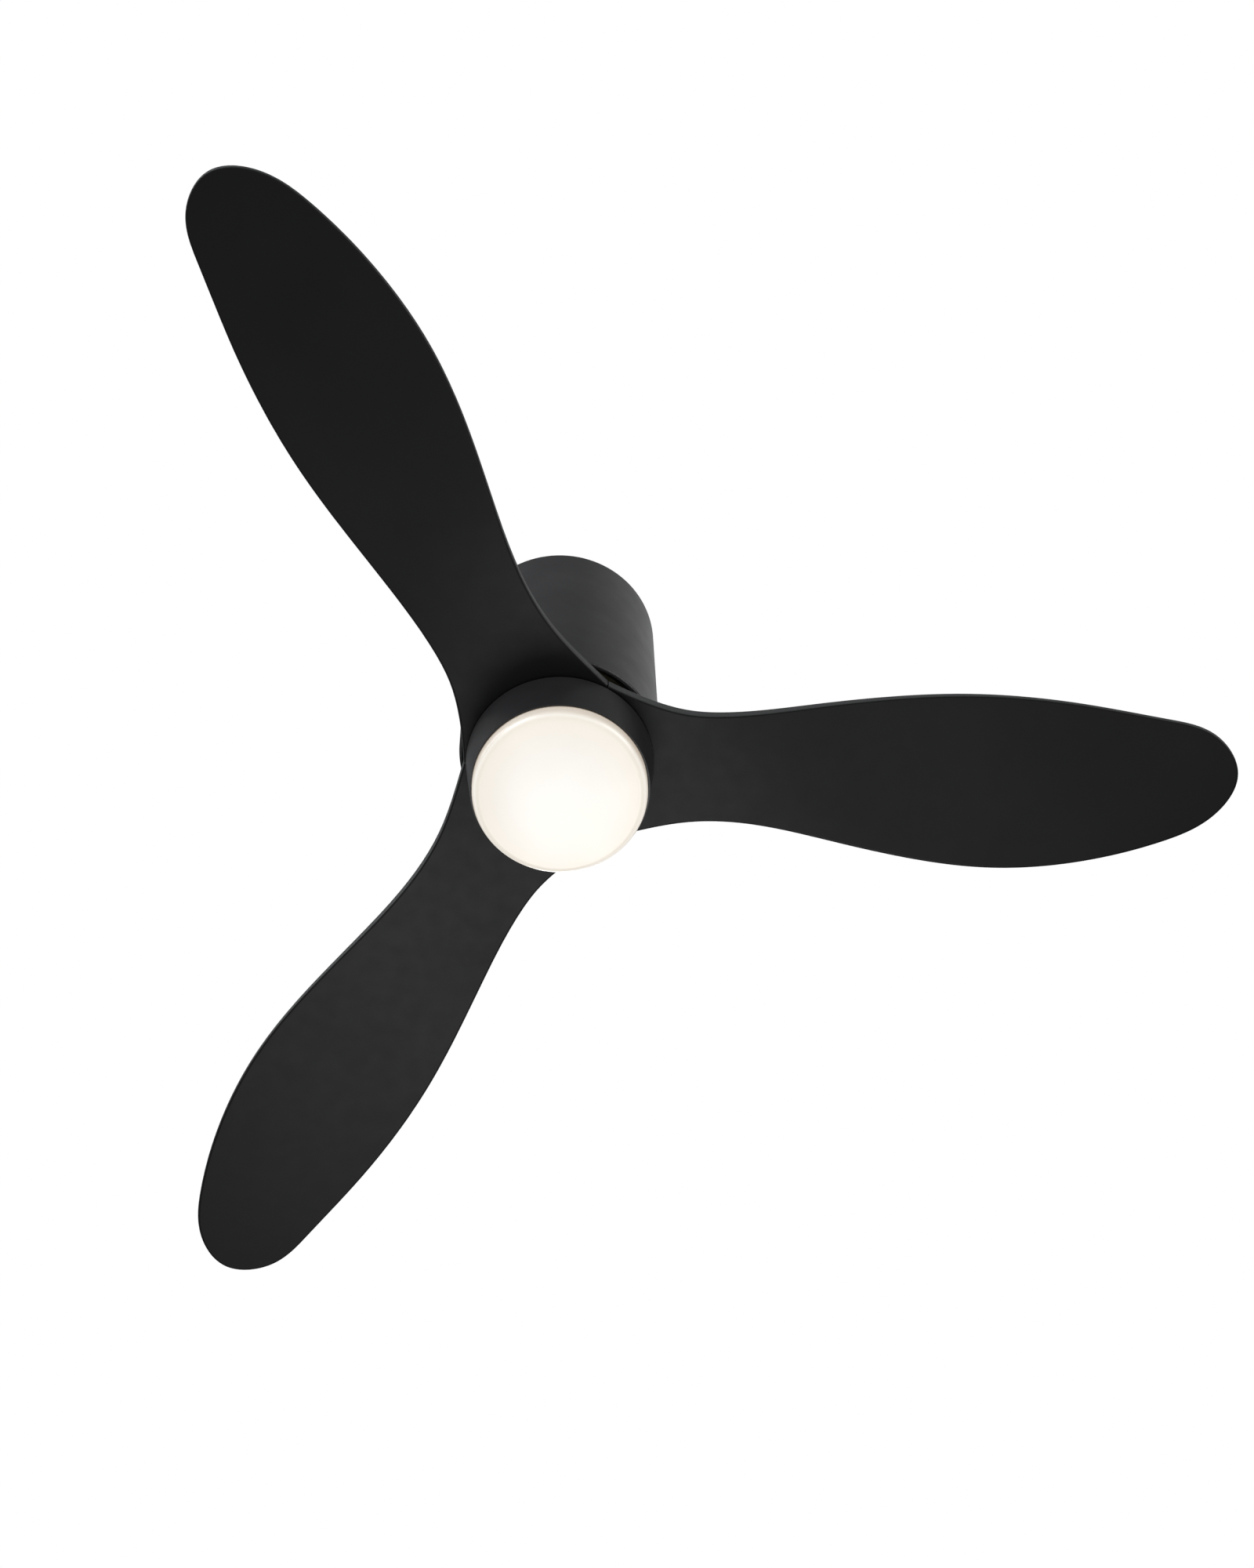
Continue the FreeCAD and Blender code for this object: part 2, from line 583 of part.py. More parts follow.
def cover_screws():
    length = MOTOR_H - COVER_T - 4
    one = screw(M4, length, V(COVER_SCREW_R, 0, Z_MOTOR_TOP), V(0, 0, -1))
    return around(one, COVER_SCREWS)


def rotor_ring():
    return tube(MAGNET_R, RING_R - FIT_CLEAR, Z_CARRIER_LOW, Z_CARRIER_TOP)


def magnets():
    one = wedge(MAGNET_IN_R, MAGNET_R - FIT_CLEAR, Z_CARRIER_LOW + 1, Z_CARRIER_TOP - 1,
                MAGNET_FILL * 360 / MAGNET_COUNT)
    return around(one, MAGNET_COUNT)


def preload_washer():
    top = UPPER_BEARING_Z + BEARING_W / 2 + WASHER_T
    return tube(LIP_R + 0.5, BEARING_R - 0.5, top - WASHER_T, top)


def blade_hub():
    """Flywheel between the motor and the blades."""
    neck = cyl(HUB_NECK_R, Z_HUB, Z_MOTOR_LOW)
    hub = neck.fuse(cyl(HUB_R, Z_HUB, Z_HUB + HUB_DISC_T)).cut(cyl(HUB_BORE_R, Z_HUB - 1, Z_MOTOR_LOW + 1))
    through = cyl(M5[0] + HOLE_CLEAR, Z_HUB - 1, Z_MOTOR_LOW + 1, HUB_SCREW_R, 0)
    recess = cyl(M5[1] + HOLE_CLEAR, Z_HUB - 1, Z_HUB + M5[2] + 1, HUB_SCREW_R, 0)
    hub = hub.cut(around(through.fuse(recess), COVER_SCREWS, 30))
    return hub.cut(blade_holes(M5[0] + THREAD_CLEAR, Z_HUB - 1, Z_HUB + HUB_DISC_T + 1)).removeSplitter()


def hub_screws():
    seat = Z_HUB + M5[2] + 1
    one = screw(M5, Z_MOTOR_LOW + COVER_T - 0.5 - seat, V(HUB_SCREW_R, 0, seat), UP)
    return around(one, COVER_SCREWS, 30)


# ---------------------------------------------------------------- blades

def screw_angles():
    """Directions of one blade's three root screws."""
    return [-BLADE_SCREW_STEP, 0.0, BLADE_SCREW_STEP]


def blade_holes(r, z_low, z_high, blades=BLADE_COUNT):
    one = cyl(r, z_low, z_high, BLADE_SCREW_R, 0)
    return [turned(hole, angle) for hole in around(one, BLADE_COUNT)[:blades] for angle in screw_angles()]


# Blade edges from the seam to the round tip: (share of the length, share of the widest offset)
LEAD_EDGE = [(0.063, 0.947), (0.128, 0.763), (0.188, 0.725), (0.315, 0.817), (0.552, 1.0),
             (0.752, 0.855), (0.886, 0.626), (0.962, 0.385)]
TRAIL_EDGE = [(0.063, 0.659), (0.128, 0.593), (0.185, 0.584), (0.356, 0.752), (0.609, 1.0),
              (0.756, 0.944), (0.886, 0.757), (0.962, 0.53)]
TIP_OFFSET = 14.0            # foremost point of the tip, from the blade's axis


def blade_outline():
    """Closed plan outline of one blade: seam edges, inner arc and one smooth curve round the tip."""
    half = math.radians(180.0 / BLADE_COUNT)
    gap = SEAM_GAP / 2

    def seam(r, side):
        direction = V(math.cos(half), side * math.sin(half), 0)
        inward = V(math.sin(half), -side * math.cos(half), 0)
        return direction * math.sqrt(r * r - gap * gap) + inward * gap

    start = seam(SEAM_R, -1)
    end = seam(SEAM_R, 1)
    length = BLADE_TIP_R - start.x
    lead_in = [V(start.x + length * along, -LEAD_W * across, 0) for along, across in LEAD_EDGE]
    trail = [V(start.x + length * along, TRAIL_W * across, 0) for along, across in TRAIL_EDGE]
    tip = [V(BLADE_TIP_R, TIP_OFFSET, 0)]
    curve = Part.BSplineCurve()
    curve.interpolate([start] + lead_in + tip + trail[::-1] + [end])
    inner_a = seam(ROOT_IN_R, 1)
    inner_b = seam(ROOT_IN_R, -1)
    inner = Part.Arc(inner_a, V(ROOT_IN_R, 0, 0), inner_b)
    edges = [curve.toShape(), Part.LineSegment(end, inner_a).toShape(), inner.toShape(),
             Part.LineSegment(inner_b, start).toShape()]
    return Part.Wire(edges)


def blade_sheet(top):
    """Smooth face wider than the blade: its top or its underside.

    It is flat over the root, then takes up its pitch, with the leading edge, at -Y, the higher one.
    The underside is hollowed by the camber. Between rows of control points it is a cubic spline
    along the blade and a parabola across it.
    """
    half_w = TRAIL_W + SHEET_MARGIN
    step = (BLADE_TIP_R + SHEET_MARGIN) / (SHEET_ROWS - 1)
    poles = []
    for row in range(SHEET_ROWS):
        x = row * step
        u = max(0.0, (x - FLAT_TO) / (BLADE_TIP_R - FLAT_TO))
        ease = min(1.0, u / TWIST_SHARE)
        ease = ease * ease * (3 - 2 * ease)
        angle = math.radians(ease * (BLADE_PITCH + (TIP_PITCH - BLADE_PITCH) * u))
        thick = ROOT_T + (TIP_T - ROOT_T) * math.sin(0.5 * math.pi * min(1.0, u / THIN_SHARE))
        level = Z_BLADE + (thick if top else 0.0)
        fall = half_w * math.tan(angle)
        crown = level + 2 * CAMBER * ease
        poles.append([V(x, -half_w, level + fall), V(x, 0, crown), V(x, half_w, level - fall)])
    spans = SHEET_ROWS - 3
    surface = Part.BSplineSurface()
    surface.buildFromPolesMultsKnots(poles, [4] + [1] * (spans - 1) + [4], [3, 3],
                                     [float(i) for i in range(spans + 1)], [0.0, 1.0], False, False, 3, 2)
    return surface.toShape()


def is_outer_edge(edge):
    """True for the blade's top and bottom rims, which are rounded, and false for its seams and bore."""
    middle = edge.valueAt((edge.FirstParameter + edge.LastParameter) / 2)
    curved = edge.Curve.TypeId == "Part::GeomBSplineCurve"
    return curved and edge.BoundBox.XLength > 1 and math.hypot(middle.x, middle.y) > ROOT_IN_R + 1


def blade():
    """Blade 1: the plan outline, cut off along the top sheet and the underside sheet, with round rims."""
    plan = Part.Face(blade_outline())
    plan.translate(V(0, 0, Z_BLADE - 3 * SHEET_MARGIN))
    prism = plan.extrude(V(0, 0, 6 * SHEET_MARGIN))
    down = V(0, 0, -12 * SHEET_MARGIN)
    body = prism.common(blade_sheet(True).extrude(down)).cut(blade_sheet(False).extrude(down))
    body = body.makeFillet(EDGE_ROUND, [edge for edge in body.Edges if is_outer_edge(edge)])
    recess_top = Z_BLADE + M5[2] + SCREW_SINK
    holes = []
    for angle in screw_angles():
        shank = cyl(M5[0] + HOLE_CLEAR, Z_BLADE - 1, Z_ROOT + 1, BLADE_SCREW_R, 0)
        recess = cyl(M5[1] + HOLE_CLEAR, Z_BLADE - 1, recess_top, BLADE_SCREW_R, 0)
        holes.append(turned(shank.fuse(recess), angle))
    return body.cut(holes)


def blade_pads():
    """Thin rubber pad between each blade root and the hub."""
    pad = wedge(HUB_SCREW_R + M5[1] + 2, HUB_R - 1, Z_ROOT, Z_HUB, 360.0 / BLADE_COUNT - 8)
    pad = pad.cut(blade_holes(M5[0] + HOLE_CLEAR, Z_ROOT - 1, Z_HUB + 1, blades=1))
    return around(pad, BLADE_COUNT)


def blade_screws():
    seat = Z_BLADE + M5[2] + SCREW_SINK
    one = screw(M5, Z_HUB + HUB_DISC_T - 1 - seat, V(BLADE_SCREW_R, 0, seat), UP)
    return [turned(copy, angle) for copy in around(one, BLADE_COUNT) for angle in screw_angles()]


# ---------------------------------------------------------------- driver case, in the hanger frame

def case_screw_holes(r):
    """Level holes through the frame legs and the case's ears."""
    return [rod(r, V(side * (LEG_IN_X - 4), y, Z_CASE_SCREW), V(side * (FRAME_HALF + 4), y, Z_CASE_SCREW))
            for side in (-1, 1) for y in (-CASE_SCREW_Y, CASE_SCREW_Y)]


def lid_screw_places():
    x = CASE_L / 2 - 5
    y = CASE_W / 2 - 5
    return [(-x, -y), (-x, y), (x, -y), (x, y)]


def driver_case():
    x = CASE_L / 2
    y = CASE_W / 2
    case = box((-x, x), (-y, y), (Z_CASE_LOW, CASE_TOP - LID_T))
    hollow = box((-x + CASE_WALL, x - CASE_WALL), (-y + CASE_WALL, y - CASE_WALL),
                 (Z_CASE_LOW + CASE_WALL, CASE_TOP))
    case = case.cut(hollow)
    posts = [cyl(POST_R, Z_CASE_LOW, CASE_TOP - LID_T, px, py) for px, py in lid_screw_places()]
    case = case.fuse(posts)
    ears = []
    height = (Z_CASE_SCREW - EAR_H / 2, Z_CASE_SCREW + EAR_H / 2)
    for side in (-1, 1):
        ear = box((LEG_IN_X - EAR_T, LEG_IN_X), (-y, y), height)
        web = box((x - 1, LEG_IN_X), (-1.5, 1.5), height)
        ears.append(turned(ear.fuse(web), 0 if side > 0 else 180))
    case = case.fuse(ears)
    case = case.cut([cyl(M3[0] + THREAD_CLEAR, CASE_TOP - 14, CASE_TOP, px, py)
                     for px, py in lid_screw_places()])
    case = case.cut(case_screw_holes(M3[0] + THREAD_CLEAR))
    return case.cut(cyl(GROMMET_R - 1.5, Z_CASE_LOW - 1, Z_CASE_LOW + CASE_WALL + 1)).removeSplitter()


def driver_lid():
    lid = box((-CASE_L / 2, CASE_L / 2), (-CASE_W / 2, CASE_W / 2), (CASE_TOP - LID_T, CASE_TOP))
    lid = lid.makeFillet(3.0, [edge for edge in lid.Edges if edge.BoundBox.ZLength > 1])
    holes = [cyl(M3[0] + HOLE_CLEAR, CASE_TOP - 3, CASE_TOP + 1, px, py) for px, py in lid_screw_places()]
    holes += [cyl(WIRE_R + 0.2, CASE_TOP - 3, CASE_TOP + 1, x, 0) for x in SUPPLY_X]
    return lid.cut(holes)


def lid_screws():
    return [screw(M3, 10.0, V(px, py, CASE_TOP), V(0, 0, -1)) for px, py in lid_screw_places()]


def case_screws():
    length = FRAME_T + EAR_T - 0.2
    return [screw(M3, length, V(side * FRAME_HALF, y, Z_CASE_SCREW), V(-side, 0, 0))
            for side in (-1, 1) for y in (-CASE_SCREW_Y, CASE_SCREW_Y)]


def driver_board():
    x = CASE_L / 2 - CASE_WALL - CIRCUIT_EDGE
    y = CASE_W / 2 - CASE_WALL - CIRCUIT_EDGE
    board = box((-x, x), (-y, y), (Z_CIRCUIT, Z_CIRCUIT + CIRCUIT_T))
    low = Z_CIRCUIT - 1
    high = Z_CIRCUIT + CIRCUIT_T + 1
    board = board.cut([cyl(POST_R + HOLE_CLEAR, low, high, px, py) for px, py in lid_screw_places()])
    return board.cut(cyl(LEAD_HOLE_R, low, high))


def driver_components():
    """Transformer, capacitors, coil, heat sink, chips and connector on the driver board."""
    base = Z_CIRCUIT + CIRCUIT_T
    transformer = box((10, 30), (-9, 9), (base, base + 16))
    bobbin = box((13, 27), (-11, 11), (base + 4, base + 12))
    heat_sink = box((-38, -35), (-12, 12), (base, base + 18))
    fins = [box((-35, -31), (y, y + 1), (base, base + 18)) for y in range(-11, 12, 4)]
    chips = [box((-24, -12), (-16, -8), (base, base + 2)), box((-24, -17), (8, 15), (base, base + 2))]
    chips += [box((-2, 3), (12, 18), (base, base + 2)), box((-6, 2), (-18, -12), (base, base + 3))]
    choke = Part.makeTorus(5.0, 2.4, V(-14, 0, base + 2.4), UP)
    return ([transformer.fuse(bobbin), heat_sink.fuse(fins), choke] + chips
            + [cyl(4.0, base, base + 17, 35, y) for y in (-9, 9)] + [cyl(2.5, base, base + 9, 14, 16)])


def lead_grommet():
    ring = tube(GROMMET_R - 2.5, GROMMET_R - 1.5, Z_CASE_LOW - 1, Z_CASE_LOW + CASE_WALL + 1)
    flanges = [tube(GROMMET_R - 2.5, GROMMET_R, Z_CASE_LOW - 1.5, Z_CASE_LOW),
               tube(GROMMET_R - 2.5, GROMMET_R, Z_CASE_LOW + CASE_WALL, Z_CASE_LOW + CASE_WALL + 1.5)]
    return ring.fuse(flanges).removeSplitter()


# ---------------------------------------------------------------- wires held inside

def supply_leads():
    """Live, neutral and earth wires up from the driver case; the first two end in wire connectors."""
    leads = []
    for x, away in ((SUPPLY_X[0], -5.0), (SUPPLY_X[1], 4.0)):
        middle = (CASE_TOP + NUT_LOW) / 2
        points = [V(x, 0, CASE_TOP - LID_T), V(x, 0, middle - 4), V(x + away, 6, middle + 4),
                  V(x + away, 6, NUT_LOW + 8)]
        leads.append(lead(points, WIRE_R, 10.0))
    x, y = GROUND_SCREW_AT
    top = Z_BRACKET - TERMINAL_T - WIRE_R
    points = [V(SUPPLY_X[2], 0, CASE_TOP - LID_T), V(SUPPLY_X[2], 0, top), V(x, y - 5.0, top)]
    leads.append(lead(points, WIRE_R, 8.0))
    return leads


def wire_connectors():
    """Twist-on connectors that join the fan's wires to the house wiring."""
    connectors = []
    for x, away in ((SUPPLY_X[0], -5.0), (SUPPLY_X[1], 4.0)):
        cone = Part.makeCone(NUT_ROOT_R, NUT_TIP_R, NUT_H, V(x + away, 6, NUT_LOW), UP)
        wings = box((x + away - 6.5, x + away + 6.5), (5.2, 6.8), (NUT_LOW, NUT_LOW + 8))
        connectors.append(cone.fuse(wings).cut(cyl(WIRE_R, NUT_LOW - 1, NUT_LOW + 8, x + away, 6)))
    return connectors


def ground_terminal():
    x, y = GROUND_SCREW_AT
    low = Z_BRACKET - TERMINAL_T
    eye = cyl(TERMINAL_EYE_R, low, Z_BRACKET, x, y)
    tongue = box((x - 2, x + 2), (y - 8, y), (low, Z_BRACKET))
    return eye.fuse(tongue).cut(cyl(M4[0] + THREAD_CLEAR, low - 1, Z_BRACKET + 1, x, y)).removeSplitter()


def ground_screw():
    x, y = GROUND_SCREW_AT
    return screw(M4, BRACKET_T + TERMINAL_T - 0.3, V(x, y, Z_BRACKET - TERMINAL_T), UP)


def motor_lead():
    """From the driver down inside the shaft and out of its window to the windings."""
    start = V(-LEAD_OFFSET, 0, Z_CASE_LOW)
    points = [start, V(-LEAD_OFFSET, 0, Z_MOTOR_LEAD), V(-(YOKE_R + 8.0), 0, Z_MOTOR_LEAD)]
    return lead(points, LEAD_R, 3 * LEAD_R)


def light_lead():
    """From the driver down through the shaft to the light's own driver."""
    start = V(LEAD_OFFSET, 0, Z_CASE_LOW)
    points = [start, V(LEAD_OFFSET, 0, Z_LIGHT_LEAD), V(LEAD_OFFSET, DRIVER_Y[0], Z_LIGHT_LEAD)]
    return lead(points, LEAD_R, 8.0)


# ---------------------------------------------------------------- light kit

def light_pan():
    """Pressed steel plate clamped on the shaft's end; everything of the light hangs from it."""
    rise_in = SHAFT_FLANGE_R
    rise_out = rise_in + 3.0
    bore = SHAFT_THREAD_R + SHAFT_CLEAR
    pan = spun([(bore, Z_LIGHT), (rise_in, Z_LIGHT), (rise_out, Z_PAN), (PAN_R, Z_PAN), (PAN_R, Z_PAN_LOW),
                (rise_out - 1, Z_PAN_LOW), (rise_in - 1, Z_PLATE_LOW), (bore, Z_PLATE_LOW)])
    holes = around(cyl(M4[0] + HOLE_CLEAR, Z_PAN_LOW - 1, Z_PAN + 1, BEZEL_SCREW_R, 0), 3, 90)
    holes += around(cyl(M3[0] + THREAD_CLEAR, Z_PAN_LOW - 1, Z_PAN + 1, STANDOFF_R, 0), 3, 30)
    holes += [cyl(M3[0] + THREAD_CLEAR, Z_PAN_LOW - 1, Z_PAN + 1, side * DRIVER_EAR_X, DRIVER_MID_Y)
              for side in (-1, 1)]
    return pan.cut(holes)


def light_kit_washer():
    return tube(SHAFT_THREAD_R + SHAFT_CLEAR, SHAFT_THREAD_R + 5.5, Z_PLATE_LOW - LOCK_T, Z_PLATE_LOW)


def light_kit_nut():
    top = Z_PLATE_LOW - LOCK_T
    return hexagon(22.0, top - NUT_T, top).cut(cyl(SHAFT_THREAD_R + SHAFT_CLEAR, top - NUT_T - 1, top + 1))


def bezel_in_r(z):
    """Inside radius of the tapered bezel wall at a height."""
    share = (Z_LIGHT - z) / BEZEL_H
    return BEZEL_TOP_R + (BEZEL_LOW_R - BEZEL_TOP_R) * share - BEZEL_WALL


def light_bezel():
    """Tapered ring with a screwing flange at its top and three ledges that hold the lens."""
    flange_r = BEZEL_TOP_R - BEZEL_WALL - BEZEL_FLANGE_W
    shell = spun([(flange_r, Z_LIGHT), (BEZEL_TOP_R, Z_LIGHT), (BEZEL_LOW_R, Z_RIM),
                  (bezel_in_r(Z_RIM), Z_RIM), (bezel_in_r(Z_PAN), Z_PAN), (flange_r, Z_PAN)])
    ledge = wedge(LEDGE_IN_R, bezel_in_r(Z_LEDGE) + 0.4, Z_LEDGE, Z_LEDGE + LEDGE_T, LEDGE_DEG)
    stop = wedge(LEDGE_IN_R, bezel_in_r(Z_LEDGE) + 0.4, Z_LEDGE, Z_LEDGE + LEDGE_T + LUG_T, 2.0)
    shell = shell.fuse(around(ledge, 3))
    shell = shell.fuse(around(stop, 3, -LEDGE_DEG / 2 + 1.0 - 2.0))
    tapped = cyl(M4[0] + THREAD_CLEAR, Z_PAN - 1, Z_LIGHT + 1, BEZEL_SCREW_R, 0)
    return shell.cut(around(tapped, 3, 90)).removeSplitter()


def bezel_screws():
    one = screw(M4, PAN_T + BEZEL_FLANGE - 0.2, V(BEZEL_SCREW_R, 0, Z_PAN_LOW), UP)
    return around(one, 3, 90)


def led_driver():
    """Potted driver block with two ears, under the pan."""
    block = box((-DRIVER_X, DRIVER_X), DRIVER_Y, (Z_PAN_LOW - DRIVER_H, Z_PAN_LOW))
    block = block.makeFillet(2.5, [edge for edge in block.Edges if edge.BoundBox.ZMax < Z_PAN_LOW - 1
                                   or edge.BoundBox.ZLength > 1])
    ears = box((-DRIVER_EAR_X - 4, DRIVER_EAR_X + 4), (DRIVER_MID_Y - 5, DRIVER_MID_Y + 5),
               (Z_PAN_LOW - DRIVER_EAR_T, Z_PAN_LOW))
    low = Z_PAN_LOW - DRIVER_EAR_T - 1
    holes = [cyl(M3[0] + HOLE_CLEAR, low, Z_PAN_LOW + 1, side * DRIVER_EAR_X, DRIVER_MID_Y)
             for side in (-1, 1)]
    return block.fuse(ears).cut(holes).removeSplitter()


def led_driver_screws():
    length = PAN_T + DRIVER_EAR_T + 1.5
    seat = Z_PAN_LOW - DRIVER_EAR_T
    return [screw(M3, length, V(side * DRIVER_EAR_X, DRIVER_MID_Y, seat), UP) for side in (-1, 1)]


def led_standoffs():
    body = hexagon(7.0, Z_BOARD, Z_PAN_LOW, STANDOFF_R, 0)
    stud = cyl(M3[0], Z_PAN_LOW, Z_PAN, STANDOFF_R, 0)
    tapped = cyl(M3[0] + THREAD_CLEAR, Z_BOARD - 1, Z_BOARD + 10, STANDOFF_R, 0)
    return around(body.fuse(stud).cut(tapped), 3, 30)


def led_board():
    board = tube(12.0, BOARD_R, Z_BOARD - BOARD_T, Z_BOARD)
    holes = around(cyl(M3[0] + HOLE_CLEAR, Z_BOARD - BOARD_T - 1, Z_BOARD + 1, STANDOFF_R, 0), 3, 30)
    return board.cut(holes)


def led_board_screws():
    one = screw(M3, BOARD_T + 7.0, V(STANDOFF_R, 0, Z_BOARD - BOARD_T), UP)
    return around(one, 3, 30)


def leds():
    """Three rings of chips on the underside of the board."""
    chips = []
    half = CHIP_W / 2
    for r, count in CHIP_RINGS:
        chip = box((r - half, r + half), (-half, half), (Z_BOARD - BOARD_T - CHIP_H, Z_BOARD - BOARD_T))
        chips += around(chip, count, 180.0 / count)
    return chips


def led_connector():
    """Two-pole socket on the upper side of the board."""
    return box((CONNECTOR_X - 4, CONNECTOR_X + 4), (-8, 2), (Z_BOARD, Z_LED_LEAD + 4))


def led_lead():
    y = DRIVER_MID_Y - 9.0
    points = [V(-DRIVER_X, y, Z_LED_LEAD), V(CONNECTOR_X, y, Z_LED_LEAD), V(CONNECTOR_X, 2, Z_LED_LEAD)]
    return lead(points, LEAD_R, 5.5)


def diffuser():
    """Opal lens: a skirt inside the bezel, a straight side with a round corner and a shallow crown."""
    skirt_top = Z_LEDGE + LEDGE_T + LUG_GAP + LUG_T
    side_top = Z_LEDGE - LUG_GAP
    z_corner = Z_RIM - LENS_DROP + LENS_CORNER

    def wall(inset):
        """Half-profile of one surface, from the side's foot round the corner to the centre."""
        r = LENS_R - inset
        corner = LENS_CORNER - inset
        foot = V(r, 0, z_corner)
        half_way = corner * math.sqrt(0.5)
        mid = V(r - corner + half_way, 0, z_corner - half_way)
        flat = V(r - corner, 0, z_corner - corner)
        centre = V(0, 0, z_corner - corner - LENS_CROWN)
        crown_r = (flat.x ** 2 + LENS_CROWN ** 2) / (2 * LENS_CROWN)
        half_x = flat.x / 2
        bow = V(half_x, 0, centre.z + crown_r - math.sqrt(crown_r ** 2 - half_x ** 2))
        return foot, mid, flat, bow, centre

    def straight(*corners):
        return [Part.LineSegment(p, q).toShape() for p, q in zip(corners, corners[1:])]

    foot, mid, flat, bow, centre = wall(0.0)
    foot_in, mid_in, flat_in, bow_in, centre_in = wall(LENS_T)
    shoulder = side_top - LENS_T
    edges = straight(V(SKIRT_R, 0, skirt_top), V(SKIRT_R, 0, side_top), V(LENS_R, 0, side_top), foot)
    edges += [Part.Arc(foot, mid, flat).toShape(), Part.Arc(flat, bow, centre).toShape()]
    edges += straight(centre, centre_in)
    edges += [Part.Arc(centre_in, bow_in, flat_in).toShape(), Part.Arc(flat_in, mid_in, foot_in).toShape()]
    edges += straight(foot_in, V(foot_in.x, 0, shoulder), V(SKIRT_R - LENS_T, 0, shoulder),
                      V(SKIRT_R - LENS_T, 0, skirt_top), V(SKIRT_R, 0, skirt_top))
    shell = Part.Face(Part.Wire(edges)).revolve(CENTRE, UP, 360)
    lug = wedge(SKIRT_R - 1.0, LENS_R - 0.2, Z_LEDGE + LEDGE_T + LUG_GAP, skirt_top, LUG_DEG)
    return shell.fuse(around(lug, 3)).removeSplitter()


# ---------------------------------------------------------------- write every node

save("mounting_bracket", mounting_bracket())
save("hanger_frame", hanger_frame())
save("frame_bolts", frame_bolts())
save("ground_screw", ground_screw())
save("ground_terminal", ground_terminal())
save("housing", housing())
save("housing_screws", housing_screws())

save("motor_shaft", motor_shaft())
save("flange_screws", flange_screws())
save("shaft_spacers", shaft_spacers())
save("retaining_ring", retaining_ring())
save("stator_carrier", stator_carrier())
save("stator_core", stator_core())
save("stator_windings", stator_windings())
bearing("upper", UPPER_BEARING_Z)
bearing("lower", LOWER_BEARING_Z)

save("rotor_upper_cover", rotor_upper_cover())
save("rotor_lower_cover", rotor_lower_cover())
save("rotor_ring", rotor_ring())
save("magnets", magnets())
save("preload_washer", preload_washer())
save("cover_screws", cover_screws())
save("blade_hub", blade_hub())
save("hub_screws", hub_screws())
for number, copy in enumerate(around(blade(), BLADE_COUNT), 1):
    save("blade_" + str(number), copy)
save("blade_pads", blade_pads())
save("blade_screws", blade_screws())

save("driver_case", driver_case())
save("driver_lid", driver_lid())
save("driver_board", driver_board())
save("driver_components", driver_components())
save("case_screws", case_screws())
save("lid_screws", lid_screws())
save("lead_grommet", lead_grommet())
save("supply_leads", supply_leads())
save("wire_connectors", wire_connectors())
save("motor_lead", motor_lead())
save("light_lead", light_lead())

save("light_pan", light_pan())
save("light_kit_washer", light_kit_washer())
save("light_kit_nut", light_kit_nut())
save("light_bezel", light_bezel())
save("bezel_screws", bezel_screws())
save("led_driver", led_driver())
save("led_driver_screws", led_driver_screws())
save("led_standoffs", led_standoffs())
save("led_board", led_board())
save("led_board_screws", led_board_screws())
save("leds", leds())
save("led_connector", led_connector())
save("led_lead", led_lead())
save("diffuser", diffuser())
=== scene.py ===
import json
import math

import bpy
from mathutils import Matrix, Vector


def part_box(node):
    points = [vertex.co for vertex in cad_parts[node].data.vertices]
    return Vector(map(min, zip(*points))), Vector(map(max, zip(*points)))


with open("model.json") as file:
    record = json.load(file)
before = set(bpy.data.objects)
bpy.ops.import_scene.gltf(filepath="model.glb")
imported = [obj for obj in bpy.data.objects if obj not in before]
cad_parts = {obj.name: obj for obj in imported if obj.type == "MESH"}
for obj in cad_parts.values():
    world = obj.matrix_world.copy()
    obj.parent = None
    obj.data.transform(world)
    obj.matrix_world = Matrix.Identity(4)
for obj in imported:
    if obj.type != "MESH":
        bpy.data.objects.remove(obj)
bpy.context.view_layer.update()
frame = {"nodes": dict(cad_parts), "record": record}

# A flush-mounted ceiling fan with three moulded blades and a round light, seen from below.
# Metres throughout. The ceiling face is z = 0, +Z points up, and blade 1 points along +X.

MM = 0.001
AXIS_FREE = Vector((1.0, 1.0, 0.0))      # multiplied with a place, leaves its distance from the fan's axis
WAVE_PITCH = 0.314                       # a wave texture of scale 1 repeats about every 0.314 units


def middle(node):
    low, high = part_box(node)
    return (low + high) / 2


# ---------------------------------------------------------------- camera, floor and light

VIEW_TILT = math.radians(23.0)           # how far the line of sight leans from straight up
VIEW_DISTANCE = 3.5
VIEW_LENS_MM = 83.0
AIM_RIGHT = 0.065                        # the fan sits left of the middle of the picture
AIM_DOWN = 0.022
VIEW_REACH = 60.0
AROUND_STRENGTH = 0.16                   # of the soft grey surrounding
FLOOR_DROP = 8.0
FLOOR_RADIUS = 3.2
FLOOR_RING_COUNT = 6
FLOOR_SIDES = 96
FLOOR_GLOW = 0.5
WHITE = (1.0, 1.0, 1.0)

# Name, place, size, watts, colour and the node that it is aimed at.
SOFTBOXES = (
    ("right_softbox", (3.4, -2.2, -1.0), (2.2, 2.6), 75.0, (1.0, 0.99, 0.97), "housing"),
    ("front_softbox", (-2.4, -3.0, -0.7), (2.0, 2.0), 95.0, (0.96, 0.98, 1.0), "housing"),
    ("top_softbox", (1.0, 1.2, 3.0), (3.0, 3.0), 15.0, WHITE, "housing"),
    ("left_softbox", (-3.2, -1.2, 1.2), (2.0, 2.0), 40.0, WHITE, "housing"),
    ("back_softbox", (-0.6, 3.2, 2.4), (2.4, 2.4), 70.0, WHITE, "housing"),
    ("low_softbox", (0.1, 0.75, -1.5), (0.8, 0.8), 7.6, WHITE, "diffuser"),
)


